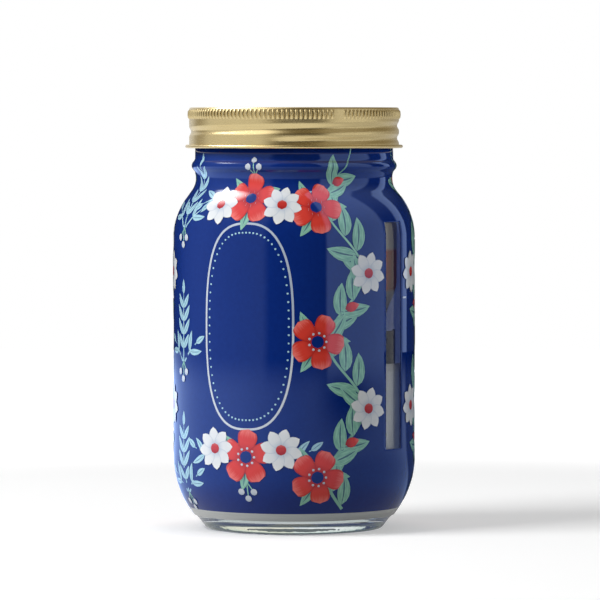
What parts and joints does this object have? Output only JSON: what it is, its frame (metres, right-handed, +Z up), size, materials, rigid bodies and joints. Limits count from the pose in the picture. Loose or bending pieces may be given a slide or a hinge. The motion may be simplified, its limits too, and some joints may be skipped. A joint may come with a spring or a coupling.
{
  "type": "herb garden jar",
  "caption": "Glass jar with a printed wrap, a clear level window and a screw-band lid, packed with a hanging basket, felt wick, coir and packets for growing herbs in water.",
  "frame": {"origin": "centre of the jar's base, on the surface that it stands on", "axes": "+Z up along the jar's axis, -Y towards the front that the picture shows, +X to the viewer's right"},
  "size_m": [0.098, 0.098, 0.171],
  "materials": {
    "glass": "clear, smooth, with a slightly green foot",
    "wrap_film": "gloss printed shrink film",
    "gold_tinplate": "satin gold lacquer on tinplate",
    "seal": "matt sealing compound",
    "card": "uncoated card",
    "steel": "satin stainless steel",
    "felt": "needled felt",
    "coir": "pressed coir fibre",
    "seed_paper": "uncoated paper",
    "charcoal_film": "matt film",
    "grey_film": "satin metallised film"
  },
  "bodies": {
    "jar": {"glass_jar": "glass", "printed_wrap": "wrap_film", "seed_packet": "seed_paper", "carbon_sachet": "charcoal_film", "plant_food_sachet": "grey_film"},
    "basket": {"net_pot": "steel", "wick": "felt", "grow_medium": "coir"},
    "card": {"care_card": "card"},
    "lid": {"lid_disc": "gold_tinplate", "seal_ring": "seal"},
    "band": {"screw_band": "gold_tinplate"}
  },
  "joints": [
    {"name": "basket_lift", "type": "slide", "parent": "jar", "child": "basket", "axis": [0, 0, 1], "range_m": [0, 0.165]},
    {"name": "lid_off", "type": "slide", "parent": "basket", "child": "card", "axis": [0, 0, 1], "range_m": [0, 0.09]},
    {"name": "lid_rise", "type": "slide", "parent": "card", "child": "lid", "axis": [0, 0, 1], "range_m": [0, 0.0064]},
    {"name": "band_turn", "type": "hinge", "parent": "lid", "child": "band", "pos_m": [0, 0, 0.1627], "axis": [0, 0, 1], "range_deg": [0, 450]}
  ],
  "couplings": [
    {"joint": "lid_rise", "follows": "band_turn", "m_per_rad": 0.00080851}
  ]
}
